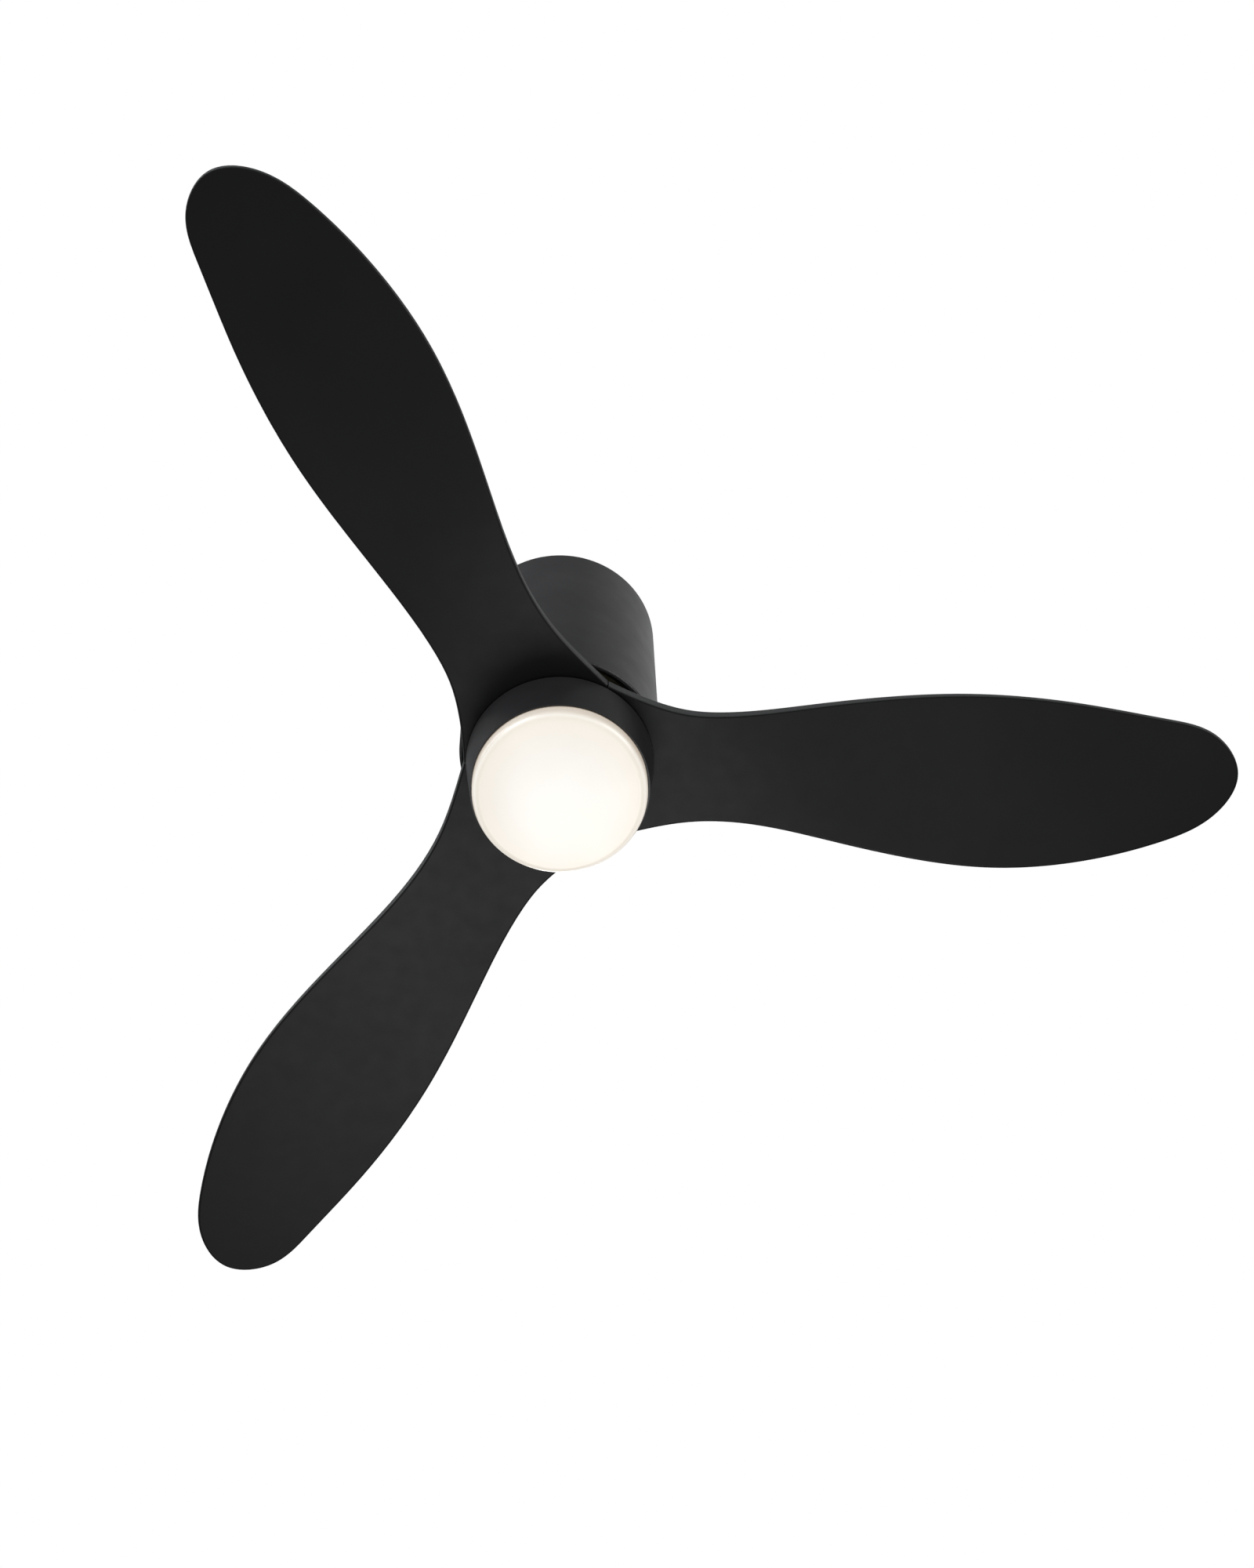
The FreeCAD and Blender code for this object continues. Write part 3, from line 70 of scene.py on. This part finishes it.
def point(obj, place, forward, up):
    """Stand obj at place, looking along forward, with up as its upright direction."""
    right = forward.cross(up).normalized()
    upright = right.cross(forward)
    axes = Matrix((right, upright, -forward)).transposed()
    obj.matrix_world = Matrix.Translation(place) @ axes.to_4x4()


def make_camera():
    hub = middle("blade_1")
    hub.x = hub.y = 0.0
    sight = Vector((0.0, math.sin(VIEW_TILT), math.cos(VIEW_TILT)))
    up = Vector((0.0, -math.cos(VIEW_TILT), math.sin(VIEW_TILT)))
    place = hub - sight * VIEW_DISTANCE
    aim = hub + Vector((AIM_RIGHT, 0.0, 0.0)) - up * AIM_DOWN
    camera = bpy.data.objects.new("camera", bpy.data.cameras.new("camera"))
    camera.data.sensor_fit = "AUTO"
    camera.data.lens = VIEW_LENS_MM
    camera.data.clip_end = VIEW_REACH
    bpy.context.scene.collection.objects.link(camera)
    point(camera, place, (aim - place).normalized(), up)
    bpy.context.scene.camera = camera


def make_world():
    """White behind the fan for the camera, and a soft grey surrounding for everything that is lit."""
    world = bpy.data.worlds.new("studio")
    world.use_nodes = True
    bpy.context.scene.world = world
    nodes = world.node_tree.nodes
    links = world.node_tree.links
    seen = nodes.new("ShaderNodeBackground")
    seen.inputs["Color"].default_value = (*WHITE, 1.0)
    lighting = nodes["Background"]
    lighting.inputs["Color"].default_value = (0.96, 0.98, 1.0, 1.0)
    lighting.inputs["Strength"].default_value = AROUND_STRENGTH
    ray = nodes.new("ShaderNodeLightPath")
    mix = nodes.new("ShaderNodeMixShader")
    links.new(ray.outputs["Is Camera Ray"], mix.inputs["Fac"])
    links.new(lighting.outputs["Background"], mix.inputs[1])
    links.new(seen.outputs["Background"], mix.inputs[2])
    links.new(mix.outputs["Shader"], nodes["World Output"].inputs["Surface"])


def make_light(name, place, size, watts, colour, target):
    light = bpy.data.lights.new(name, "AREA")
    light.shape = "RECTANGLE"
    light.size, light.size_y = size
    light.energy = watts
    light.color = colour
    obj = bpy.data.objects.new(name, light)
    bpy.context.scene.collection.objects.link(obj)
    place = Vector(place)
    point(obj, place, (middle(target) - place).normalized(), Vector((0.0, 0.1, 1.0)))
    obj.visible_camera = False


# ---------------------------------------------------------------- materials

class Finish:
    """A material in the making: its shader, and short ways to add what feeds it."""

    def __init__(self, name, **fixed):
        self.material = bpy.data.materials.new(name)
        self.material.use_nodes = True
        self.nodes = self.material.node_tree.nodes
        self.links = self.material.node_tree.links
        self.shader = self.nodes["Principled BSDF"]
        for socket, value in fixed.items():
            self.shader.inputs[socket.replace("_", " ")].default_value = value
        self.place = self.nodes.new("ShaderNodeTexCoord").outputs["Object"]

    def put(self, kind, feeds=(), **settings):
        """Add a node: feeds are (input, socket or value) pairs, settings its own properties."""
        node = self.nodes.new(kind)
        for name, value in settings.items():
            setattr(node, name, value)
        for key, value in feeds:
            if isinstance(value, bpy.types.NodeSocket):
                self.links.new(value, node.inputs[key])
            else:
                node.inputs[key].default_value = value
        return node

    def stretched(self, scale):
        """The place on the object, scaled differently along X, Y and Z."""
        return self.put("ShaderNodeMapping", [("Vector", self.place), ("Scale", scale)]).outputs["Vector"]

    def noise(self, scale, detail=2.0, rough=0.5, at=None):
        feeds = [("Vector", at or self.place), ("Scale", scale), ("Detail", detail), ("Roughness", rough)]
        return self.put("ShaderNodeTexNoise", feeds).outputs["Fac"]

    def cells(self, scale, output="Distance", feature="F1"):
        feeds = [("Vector", self.place), ("Scale", scale)]
        return self.put("ShaderNodeTexVoronoi", feeds, feature=feature).outputs[output]

    def bands(self, pitch, wobble=0.0, **settings):
        """Even bands of the given pitch, or rings round an axis."""
        feeds = [("Vector", self.place), ("Scale", WAVE_PITCH / pitch), ("Distortion", wobble)]
        return self.put("ShaderNodeTexWave", feeds, **settings).outputs["Fac"]

    def span(self, value, low, high, start=0.0, stop=1.0):
        """value, which runs from start to stop, spread over low to high."""
        feeds = [("Value", value), ("From Min", start), ("From Max", stop), ("To Min", low), ("To Max", high)]
        return self.put("ShaderNodeMapRange", feeds).outputs["Result"]

    def ramp(self, value, *stops):
        """Colours along value: stops are (position, colour) pairs."""
        node = self.put("ShaderNodeValToRGB", [("Fac", value)])
        keys = node.color_ramp.elements
        while len(keys) < len(stops):
            keys.new(0.5)
        for key, (position, colour) in zip(keys, stops):
            key.position = position
            key.color = (*colour, 1.0)
        return node.outputs["Color"]

    def maths(self, operation, first, second=0.0):
        return self.put("ShaderNodeMath", [(0, first), (1, second)], operation=operation).outputs[0]

    def colour(self, socket):
        self.links.new(socket, self.shader.inputs["Base Color"])

    def rough(self, socket):
        self.links.new(socket, self.shader.inputs["Roughness"])

    def bump(self, height, depth, strength=1.0):
        """Raise the surface by height, up to depth metres. Called again, it adds to what is there."""
        feeds = [("Height", height), ("Distance", depth), ("Strength", strength)]
        node = self.put("ShaderNodeBump", feeds)
        normal = self.shader.inputs["Normal"]
        if normal.is_linked:
            self.links.new(normal.links[0].from_socket, node.inputs["Normal"])
        self.links.new(node.outputs["Normal"], normal)


def mottle(finish, dark, light, scale, at=None):
    """Colour that drifts between two close tones."""
    finish.colour(finish.ramp(finish.noise(scale, 3.0, at=at), (0.35, dark), (0.65, light)))


def painted(name, dark, light, low, high, grain, depth):
    """Powder or spray paint: close tones, uneven sheen and a fine pebbled surface."""
    finish = Finish(name, Specular_IOR_Level=0.35)
    mottle(finish, dark, light, 18.0)
    finish.rough(finish.span(finish.noise(40.0, 4.0), low, high))
    finish.bump(finish.noise(grain, 3.0, 0.6), depth)
    return finish


def housing_black(name):
    finish = painted(name, (0.030, 0.030, 0.031), (0.036, 0.036, 0.037), 0.36, 0.46, 1400.0, 0.02 * MM)
    finish.bump(finish.noise(35.0, 1.0), 0.05 * MM, 0.4)
    return finish


def bezel_black(name):
    return painted(name, (0.017, 0.017, 0.018), (0.022, 0.022, 0.023), 0.34, 0.42, 1700.0, 0.015 * MM)


def blade_black(name):
    """Moulded plastic with a fine matte texture. Its narrow edges are painted greyer: a painted highlight on
    the faces that stand on edge.
    """
    finish = Finish(name, Specular_IOR_Level=0.22)
    facing = finish.put("ShaderNodeTexCoord").outputs["Normal"]
    # Colour is lighter on faces that stand on edge: a painted highlight on the blade's narrow edges. The
    # noise added to it is the plastic's own random tone.
    level = finish.maths("ABSOLUTE", finish.put("ShaderNodeSeparateXYZ", [("Vector", facing)]).outputs["Z"])
    painted_edge_highlight = finish.span(level, 1.0, 0.0, 0.45, 0.88)
    share = finish.maths("ADD", painted_edge_highlight, finish.span(finish.noise(9.0, 3.0), 0.0, 0.06, 0.35, 0.65))
    finish.colour(finish.ramp(share, (0.0, (0.0034, 0.0034, 0.0036)), (0.06, (0.0050, 0.0050, 0.0053)),
                              (1.0, (0.050, 0.051, 0.052))))
    finish.rough(finish.span(finish.noise(60.0, 3.0), 0.44, 0.54))
    finish.bump(finish.noise(2400.0, 2.0, 0.7), 0.012 * MM)
    finish.bump(finish.cells(1100.0), 0.008 * MM, 0.5)
    return finish


def opal_lens(name):
    """Opal acrylic, lit from inside: even over its face and warmer towards its side, with painted shade and a
    painted highlight ring round its side.
    """
    finish = Finish(name, Roughness=0.28, Emission_Strength=0.57, Subsurface_Weight=0.12,
                    Subsurface_Radius=(0.01, 0.008, 0.006))
    flat = finish.put("ShaderNodeVectorMath", [(0, finish.place), (1, AXIS_FREE)], operation="MULTIPLY")
    radius = finish.put("ShaderNodeVectorMath", [(0, flat.outputs[0])], operation="LENGTH").outputs["Value"]
    low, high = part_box("diffuser")
    share = finish.span(radius, 0.0, 1.0, 0.0, (high.x - low.x) / 2)
    drift = finish.span(finish.noise(14.0, 1.0), -0.02, 0.02)
    reach = finish.maths("ADD", share, drift)
    # The lamp's own glow, warmer outward. At 0.945 a painted shade line where the face turns into the side,
    # at 0.97 a painted highlight ring on that corner, at 1.0 painted shade at the rim against the bezel.
    glow_and_painted_rim = finish.ramp(reach, (0.0, (1.0, 0.985, 0.94)), (0.55, (1.0, 0.97, 0.90)),
                       (0.88, (1.0, 0.92, 0.81)), (0.945, (0.90, 0.82, 0.70)), (0.97, (1.0, 0.95, 0.86)),
                       (1.0, (0.58, 0.48, 0.37)))
    finish.links.new(glow_and_painted_rim, finish.shader.inputs["Emission Color"])
    finish.colour(finish.ramp(finish.noise(20.0, 1.0), (0.3, (0.48, 0.46, 0.43)), (0.7, (0.52, 0.50, 0.47))))
    finish.bump(finish.noise(900.0, 2.0), 0.01 * MM)
    return finish


def zinc_steel(name):
    """Bright zinc plate: soft crystalline clouding over fine rolling lines."""
    finish = Finish(name, Metallic=1.0)
    spangle = finish.cells(170.0, "Color")
    tone = finish.maths("ADD", finish.span(spangle, 0.0, 0.5), finish.span(finish.noise(60.0, 4.0), 0.0, 0.5))
    finish.colour(finish.ramp(tone, (0.25, (0.52, 0.53, 0.53)), (0.75, (0.68, 0.69, 0.68))))
    finish.rough(finish.span(spangle, 0.27, 0.42))
    finish.bump(finish.noise(1.0, 2.0, at=finish.stretched((60.0, 2600.0, 900.0))), 0.01 * MM)
    return finish


def passivated_steel(name):
    """Dark olive passivated zinc with a slight drift in its tone."""
    finish = Finish(name, Metallic=1.0)
    drift = finish.noise(28.0, 3.0)
    finish.colour(finish.ramp(drift, (0.3, (0.115, 0.100, 0.050)), (0.5, (0.150, 0.132, 0.070)),
                              (0.7, (0.120, 0.122, 0.072))))
    finish.rough(finish.span(finish.noise(150.0, 3.0), 0.38, 0.50))
    finish.bump(finish.noise(900.0, 2.0), 0.01 * MM)
    return finish


def bright_steel(name):
    """Turned and ground steel with fine tool lines round the axis."""
    finish = Finish(name, Metallic=1.0)
    mottle(finish, (0.60, 0.60, 0.59), (0.72, 0.72, 0.71), 120.0)
    finish.rough(finish.span(finish.noise(300.0, 3.0), 0.14, 0.26))
    finish.bump(finish.bands(0.12 * MM, 1.5, bands_direction="Z"), 0.002 * MM, 0.6)
    return finish


def black_steel(name):
    """Black oxide, worn to bare metal in small flecks."""
    finish = Finish(name, Metallic=0.7)
    flecks = finish.noise(700.0, 5.0)
    finish.colour(finish.ramp(flecks, (0.55, (0.028, 0.028, 0.030)), (0.74, (0.10, 0.10, 0.10))))
    finish.rough(finish.span(finish.noise(200.0, 3.0), 0.34, 0.5))
    finish.bump(finish.noise(2000.0, 2.0), 0.008 * MM)
    return finish


def cast_aluminium(name):
    """Die-cast metal: a skin of soft pits and flow marks."""
    finish = Finish(name, Metallic=1.0)
    mottle(finish, (0.50, 0.51, 0.52), (0.64, 0.65, 0.66), 55.0)
    finish.rough(finish.span(finish.noise(90.0, 5.0), 0.38, 0.58))
    finish.bump(finish.noise(700.0, 4.0, 0.65), 0.04 * MM)
    finish.bump(finish.cells(260.0), 0.02 * MM, 0.5)
    return finish


def core_steel(name):
    """Stacked half-millimetre laminations, with a trace of varnish."""
    finish = Finish(name, Metallic=0.9)
    sheets = finish.bands(0.5 * MM, bands_direction="Z")
    finish.colour(finish.ramp(sheets, (0.12, (0.10, 0.10, 0.11)), (0.35, (0.27, 0.27, 0.28)),
                              (0.8, (0.34, 0.34, 0.35))))
    finish.rough(finish.span(finish.noise(160.0, 3.0), 0.4, 0.6))
    finish.bump(sheets, 0.03 * MM)
    return finish


def copper_wire(name):
    """Enamelled copper: each turn a ridge, in rings about the motor's axis."""
    finish = Finish(name, Metallic=0.85, Coat_Weight=0.4, Coat_Roughness=0.15)
    turn_ridges_and_groove_shade = finish.bands(0.7 * MM, 0.4, wave_type="RINGS", rings_direction="Z")
    # The colour darkens into the grooves between turns and brightens on their crests: painted shade and
    # painted highlight over the copper's own colour.
    finish.colour(finish.ramp(turn_ridges_and_groove_shade, (0.1, (0.16, 0.05, 0.02)), (0.5, (0.55, 0.22, 0.09)),
                              (0.9, (0.68, 0.31, 0.14))))
    finish.rough(finish.span(finish.noise(300.0, 2.0), 0.22, 0.34))
    finish.bump(turn_ridges_and_groove_shade, 0.2 * MM)
    return finish


def magnet_nickel(name):
    finish = Finish(name, Metallic=0.9)
    mottle(finish, (0.30, 0.30, 0.31), (0.38, 0.38, 0.39), 140.0)
    finish.rough(finish.span(finish.noise(250.0, 4.0), 0.25, 0.42))
    finish.bump(finish.noise(1200.0, 3.0), 0.01 * MM)
    return finish


def pad_rubber(name):
    finish = Finish(name, Specular_IOR_Level=0.25, Sheen_Weight=0.15)
    grain = finish.noise(1500.0, 3.0)
    finish.colour(finish.ramp(grain, (0.4, (0.018, 0.018, 0.018)), (0.7, (0.032, 0.032, 0.031))))
    finish.rough(finish.span(finish.noise(400.0, 2.0), 0.72, 0.86))
    finish.bump(finish.noise(1300.0, 3.0, 0.7), 0.03 * MM)
    return finish


def case_plastic(name):
    """Spark-textured moulded plastic."""
    finish = Finish(name)
    mottle(finish, (0.085, 0.085, 0.09), (0.105, 0.105, 0.11), 50.0)
    finish.rough(finish.span(finish.noise(300.0, 3.0), 0.5, 0.64))
    finish.bump(finish.cells(900.0), 0.03 * MM)
    return finish


def circuit_board(name):
    """Green solder mask over tracks that show as paler lanes, with tinned pads."""
    finish = Finish(name, Coat_Weight=0.3, Coat_Roughness=0.12)
    feeds = [("Vector", finish.place), ("Scale", 330.0), ("Mortar Size", 0.035), ("Mortar", (*WHITE, 1.0)),
             ("Color1", (0.0, 0.0, 0.0, 1.0)), ("Color2", (0.2, 0.2, 0.2, 1.0))]
    tracks = finish.put("ShaderNodeTexBrick", feeds).outputs["Color"]
    finish.colour(finish.ramp(tracks, (0.05, (0.010, 0.085, 0.035)), (0.2, (0.014, 0.10, 0.04)),
                              (0.9, (0.035, 0.21, 0.09))))
    finish.rough(finish.span(finish.noise(220.0, 2.0), 0.26, 0.36))
    finish.bump(tracks, 0.02 * MM)
    return finish


def ground_green(name):
    return painted(name, (0.025, 0.20, 0.06), (0.035, 0.26, 0.08), 0.26, 0.36, 1500.0, 0.01 * MM)


def components(name):
    """Moulded parts in several tones, chosen piece by piece from where they sit."""
    finish = Finish(name)
    tone = finish.cells(55.0, "Color")
    finish.colour(finish.ramp(tone, (0.2, (0.03, 0.03, 0.032)), (0.5, (0.11, 0.11, 0.12)),
                              (0.7, (0.16, 0.12, 0.05)), (0.9, (0.04, 0.055, 0.12))))
    finish.rough(finish.span(finish.noise(300.0, 3.0), 0.34, 0.5))
    finish.bump(finish.noise(900.0, 2.0), 0.02 * MM)
    return finish


def lead_insulation(name):
    """Soft PVC with faint drawing lines."""
    finish = Finish(name)
    mottle(finish, (0.58, 0.58, 0.56), (0.68, 0.68, 0.66), 60.0)
    finish.rough(finish.span(finish.noise(200.0, 2.0), 0.38, 0.5))
    finish.bump(finish.noise(1.0, 2.0, at=finish.stretched((900.0, 900.0, 120.0))), 0.02 * MM)
    return finish


def supply_insulation(name):
    """The same PVC in the colours of the house wiring: black, white and green, side by side along X."""
    finish = lead_insulation(name)
    low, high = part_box("supply_leads")
    along = finish.put("ShaderNodeSeparateXYZ", [("Vector", finish.place)]).outputs["X"]
    share = finish.span(along, 0.0, 1.0, low.x, high.x)
    shade = finish.span(finish.noise(60.0, 3.0), -0.02, 0.02)
    finish.colour(finish.ramp(finish.maths("ADD", share, shade), (0.19, (0.015, 0.015, 0.016)),
                              (0.22, (0.62, 0.62, 0.60)), (0.60, (0.62, 0.62, 0.60)),
                              (0.70, (0.02, 0.18, 0.05))))
    return finish


def connector_plastic(name):
    """Twist-on connector: bright moulded plastic, ribbed for the fingers."""
    finish = Finish(name, Subsurface_Weight=0.05)
    mottle(finish, (0.66, 0.25, 0.03), (0.78, 0.33, 0.05), 90.0)
    finish.rough(finish.span(finish.noise(200.0, 2.0), 0.3, 0.42))
    finish.bump(finish.bands(1.1 * MM, bands_direction="X"), 0.15 * MM, 0.6)
    return finish


def white_paint(name):
    return painted(name, (0.78, 0.78, 0.76), (0.84, 0.84, 0.82), 0.34, 0.46, 1100.0, 0.02 * MM)


def led_chip(name):
    """Yellow phosphor under clear resin, lit."""
    finish = Finish(name, Coat_Weight=0.5, Coat_Roughness=0.1, Emission_Strength=1.2)
    dots = finish.ramp(finish.cells(900.0), (0.2, (1.0, 0.86, 0.48)), (0.6, (0.95, 0.72, 0.30)))
    finish.colour(dots)
    finish.links.new(dots, finish.shader.inputs["Emission Color"])
    finish.rough(finish.span(finish.noise(500.0, 2.0), 0.2, 0.3))
    return finish


SLOT_FINISHES = (
    housing_black, bezel_black, blade_black, opal_lens, zinc_steel, passivated_steel, bright_steel,
    black_steel, cast_aluminium, core_steel, copper_wire, magnet_nickel, pad_rubber, case_plastic,
    circuit_board, ground_green, components, lead_insulation, connector_plastic, white_paint, led_chip)


NODE_FINISHES = {"supply_leads": supply_insulation}


def dress_nodes():
    """Give every CAD node the procedural finish of its slot, or its own where it has one."""
    made = {build.__name__: build(build.__name__).material for build in SLOT_FINISHES}
    for part in frame["record"]["subparts"]:
        own = NODE_FINISHES.get(part["node"])
        mesh = frame["nodes"][part["node"]].data
        mesh.materials.clear()
        mesh.materials.append(own(own.__name__).material if own else made[part["material_slot"]])


# ---------------------------------------------------------------- floor

def make_floor():
    """A plain pale disc far below the fan."""
    mesh = bpy.data.meshes.new("floor")
    corners, faces, sides = [(0.0, 0.0, 0.0)], [], FLOOR_SIDES
    for ring in range(1, FLOOR_RING_COUNT + 1):
        reach = FLOOR_RADIUS * ring / FLOOR_RING_COUNT
        corners += [(reach * math.cos(math.tau * k / sides), reach * math.sin(math.tau * k / sides), 0.0)
                    for k in range(sides)]
    for k in range(sides):
        faces.append((0, 1 + k, 1 + (k + 1) % sides))
    for ring in range(FLOOR_RING_COUNT - 1):
        inner, outer = 1 + ring * sides, 1 + (ring + 1) * sides
        faces += [(inner + k, outer + k, outer + (k + 1) % sides, inner + (k + 1) % sides)
                  for k in range(sides)]
    mesh.from_pydata(corners, [], faces)
    floor = bpy.data.objects.new("floor", mesh)
    floor.location.z = -FLOOR_DROP
    bpy.context.scene.collection.objects.link(floor)
    finish = Finish("pale_floor", Emission_Strength=FLOOR_GLOW)
    mottle(finish, (0.80, 0.80, 0.79), (0.83, 0.83, 0.82), 2.0)
    finish.rough(finish.span(finish.noise(8.0), 0.6, 0.7))
    mesh.materials.append(finish.material)


make_camera()
make_world()
for softbox in SOFTBOXES:
    make_light(*softbox)
make_floor()
dress_nodes()
bpy.context.scene.view_settings.view_transform = "Standard"
